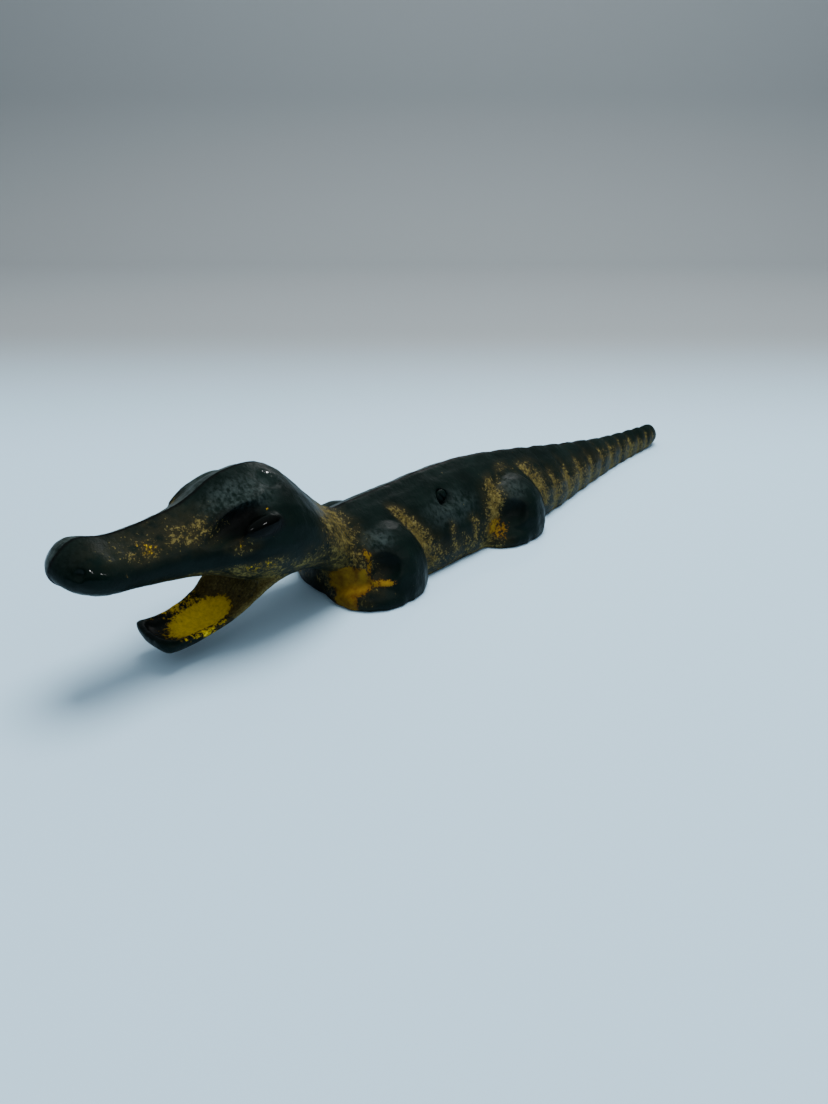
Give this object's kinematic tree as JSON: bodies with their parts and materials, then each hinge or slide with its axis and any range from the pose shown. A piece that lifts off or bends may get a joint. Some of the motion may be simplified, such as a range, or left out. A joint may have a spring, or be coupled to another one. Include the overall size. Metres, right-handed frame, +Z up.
{
  "type": "alligator figurine",
  "caption": "Cast metal alligator figurine in two hollow halves, with an open mouth, ribbed tail and legs in relief, resting on a flat underside.",
  "frame": {"origin": "middle of the box's bottom face: on the table, on the midplane, half way from tail tip to snout tip", "axes": "+X towards the snout, +Y towards the animal's left side, +Z up"},
  "size_m": [0.25, 0.047, 0.044],
  "materials": {
    "enamelled_casting": "gloss black-green enamel with dry-brushed yellow ochre",
    "painted_fastener": "gloss, painted over"
  },
  "bodies": {
    "root": {"left_body_shell": "enamelled_casting", "right_body_shell": "enamelled_casting", "flank_screw": "painted_fastener", "square_nut": "painted_fastener"}
  },
  "joints": []
}
